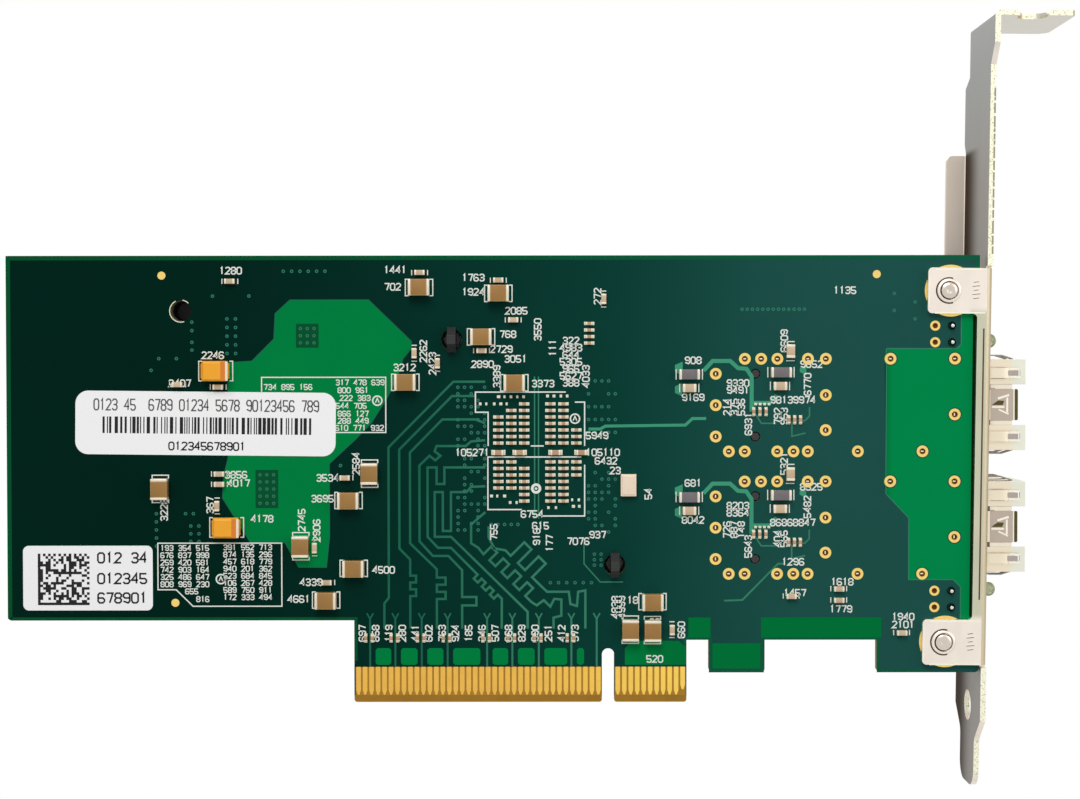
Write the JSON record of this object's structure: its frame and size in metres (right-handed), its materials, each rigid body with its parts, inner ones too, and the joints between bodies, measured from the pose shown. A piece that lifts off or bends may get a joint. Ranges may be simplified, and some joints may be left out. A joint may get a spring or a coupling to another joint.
{
  "type": "network interface card",
  "caption": "Low-profile expansion card with pluggable network port cages, a finned controller cooler and a full-height slot bracket.",
  "frame": {"origin": "on the contact edge, at the middle of the key notch and of the board's thickness", "axes": "+X along the board to the bracket, +Y from the solder side to the component side, +Z from the contact edge up, as the card stands in its slot"},
  "size_m": [0.1634, 0.021, 0.12],
  "materials": {
    "board": "glossy green solder mask on fibreglass",
    "gold": "hard gold plating",
    "bracket_steel": "nickel-plated steel sheet",
    "screw_steel": "zinc-plated steel",
    "cage_metal": "plated copper-alloy sheet",
    "spring_metal": "plated spring metal",
    "black_plastic": "moulded black plastic",
    "tinned_copper": "tinned metal",
    "lens_plastic": "clear lamp epoxy",
    "package_substrate": "green chip substrate",
    "chip_black": "black moulding compound",
    "thermal_rubber": "soft grey pad",
    "heat_sink_aluminium": "black anodised aluminium",
    "pin_plastic": "black nylon",
    "ceramic_tan": "fired ceramic with tinned ends",
    "ferrite_grey": "dark ferrite with tinned ends",
    "ceramic_cream": "cream ceramic package",
    "tantalum_yellow": "yellow moulded case",
    "label_paper": "white polyester label"
  },
  "bodies": {
    "root": {"bracket": "bracket_steel", "bracket_screw_lower": "screw_steel", "bracket_screw_upper": "screw_steel", "bulk_capacitors": "ceramic_tan", "cage_springs_lower": "spring_metal", "cage_springs_upper": "spring_metal", "circuit_board": "board", "clock_crystal": "ceramic_cream", "connector_leads_lower": "tinned_copper", "connector_leads_upper": "tinned_copper", "controller_lid": "chip_black", "controller_package": "package_substrate", "coupling_capacitors": "ceramic_tan", "decoupling_capacitors": "ceramic_tan", "edge_contacts_component_side": "gold", "edge_contacts_solder_side": "gold", "ferrite_beads": "ferrite_grey", "heat_sink": "heat_sink_aluminium", "label_large": "label_paper", "label_small": "label_paper", "lamp_holder_lower": "black_plastic", "lamp_holder_upper": "black_plastic", "lamp_leads": "tinned_copper", "lamp_lens_lower": "lens_plastic", "lamp_lens_upper": "lens_plastic", "lamp_solder": "tinned_copper", "memory_chip": "chip_black", "port_cage_lower": "cage_metal", "port_cage_upper": "cage_metal", "port_connector_lower": "black_plastic", "port_connector_upper": "black_plastic", "port_filter_capacitors": "ceramic_tan", "power_inductor_lower": "chip_black", "power_inductor_upper": "chip_black", "push_pin_lower": "pin_plastic", "push_pin_upper": "pin_plastic", "push_spring_lower": "spring_metal", "push_spring_upper": "spring_metal", "rear_spacer": "black_plastic", "regulator_lower": "chip_black", "regulator_upper": "chip_black", "small_capacitors": "ceramic_tan", "solder_balls": "tinned_copper", "tantalum_capacitor_lower": "tantalum_yellow", "tantalum_capacitor_upper": "tantalum_yellow", "termination_resistors": "chip_black", "thermal_pad": "thermal_rubber"}
  },
  "joints": []
}
